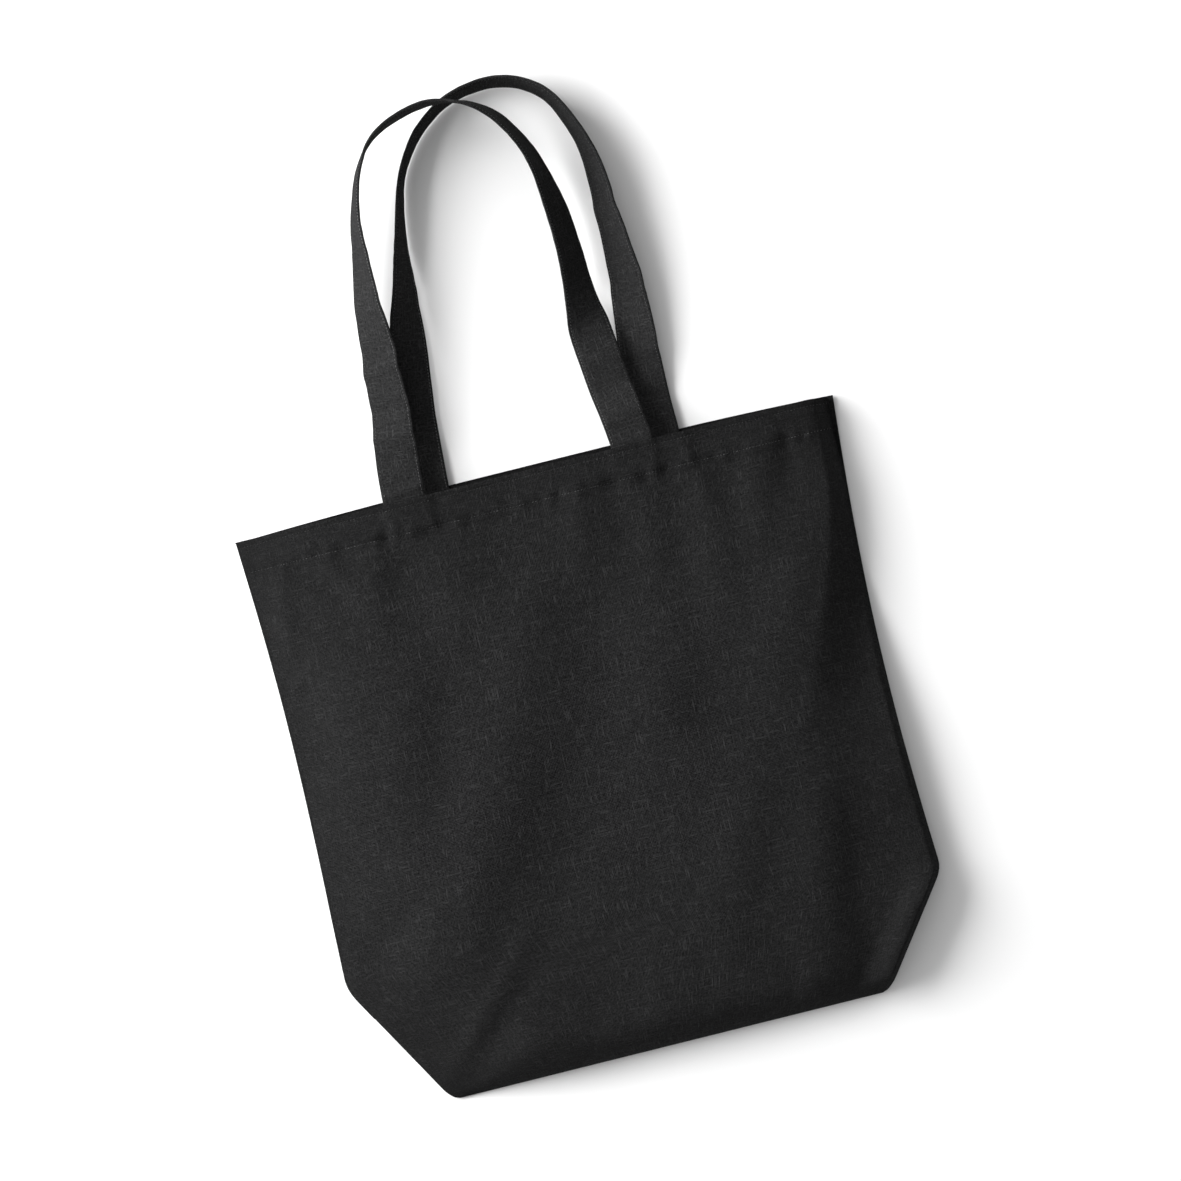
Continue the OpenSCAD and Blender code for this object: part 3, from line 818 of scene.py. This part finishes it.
def mouth_row(name, node, panel, below_top):
    """One row along the mouth, a dash on the outer face and another on the inner face at each stitch."""
    stitches = []
    t = BODY_H - below_top
    x0, x1 = left_x(t) + 4 * MM, right_x(t) - 4 * MM
    count = round((x1 - x0) / STITCH_PITCH)
    for k in range(count):
        x = mix(x0, x1, (k + 0.5) / count)
        if panel == "front":
            spot, out = on_front(x, t, 0.05 * MM)
            ahead = (on_front(x + MM, t, 0.05 * MM)[0] - spot).normalized()
            inner = spot - out * (CLOTH_T + HEM_T + 0.15 * MM)
        else:
            out, ahead = Vector((0, 0, -1)), Vector((1, 0, 0))
            spot = Vector((x, back_edge_y(x, t), back_z(x, t) + 0.1 * MM))
            inner = spot - out * (CLOTH_T + HEM_T + 0.25 * MM * (1 + ripple(x, t * 0.4, 12 * MM, 8.8)))
        stitches.append(stitch(spot, ahead, out, 1.7 * MM, 0.7 * MM))
        stitches.append(stitch(inner, ahead, -out, 1.7 * MM, 0.7 * MM))
    row = thread_piece(name, stitches)
    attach(row, "bag")
    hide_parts(node)


mouth_row("front_top_stitches", "front_top_stitching", "front", TOP_ROW)
mouth_row("front_hem_stitches", "front_hem_stitching", "front", HEM_ROW)
mouth_row("back_top_stitches", "back_top_stitching", "back", TOP_ROW)
mouth_row("back_hem_stitches", "back_hem_stitching", "back", HEM_ROW)

# ---- Floor, light and camera -----------------------------------------------------------------------
# A plain white table seen from straight above, soft light from the upper left, and a long lens.
bpy.ops.mesh.primitive_plane_add(size=8, location=(0, 0, -0.0002))
table = bpy.context.object
table.name = "table"
table_finish = Nodes("table_white")
table_finish.put((0.9, 0.9, 0.9, 1), table_finish.shader.inputs["Base Color"])
table_finish.shader.inputs["Roughness"].default_value = 0.8
table.data.materials.append(table_finish.material)

world = bpy.data.worlds.new("studio")
bpy.context.scene.world = world
world.use_nodes = True
sky = world.node_tree.nodes["Background"]
facing = world.node_tree.nodes.new("ShaderNodeVectorMath")
facing.operation = "DOT_PRODUCT"
world.node_tree.links.new(world.node_tree.nodes.new("ShaderNodeTexCoord").outputs["Generated"], facing.inputs[0])
facing.inputs[1].default_value = (-0.83, 0.46, 0.32)
level = world.node_tree.nodes.new("ShaderNodeMapRange")
world.node_tree.links.new(facing.outputs["Value"], level.inputs["Value"])
for socket, amount in zip(list(level.inputs)[1:], (-1, 1, 0.03, 0.92)):
    socket.default_value = amount
world.node_tree.links.new(level.outputs[0], sky.inputs["Strength"])
sky.inputs["Color"].default_value = (1, 1, 1, 1)


def area_light(name, place, aim, size, power):
    light = bpy.data.lights.new(name, "AREA")
    light.size = size
    light.energy = power
    lamp = bpy.data.objects.new(name, light)
    lamp.location = place
    lamp.rotation_euler = (Vector(aim) - Vector(place)).to_track_quat("-Z", "Y").to_euler()
    bpy.context.scene.collection.objects.link(lamp)


area_light("key", (-1.66, 0.84, 1.15), (0, 0, 0), 1.9, 110)

PICTURE_W = 0.817
CAMERA_H = 7.0
ROLL = math.radians(-14.0)
camera_data = bpy.data.cameras.new("camera")
camera_data.sensor_width = 36
camera_data.lens = 36 * CAMERA_H / PICTURE_W
camera_data.clip_end = 50
camera = bpy.data.objects.new("camera", camera_data)
camera.location = (17.5 * MM, Y_TOP - 91.3 * MM, CAMERA_H)
camera.rotation_euler = (0, 0, ROLL)
bpy.context.scene.collection.objects.link(camera)
bpy.context.scene.camera = camera
bpy.context.scene.view_settings.view_transform = "Standard"
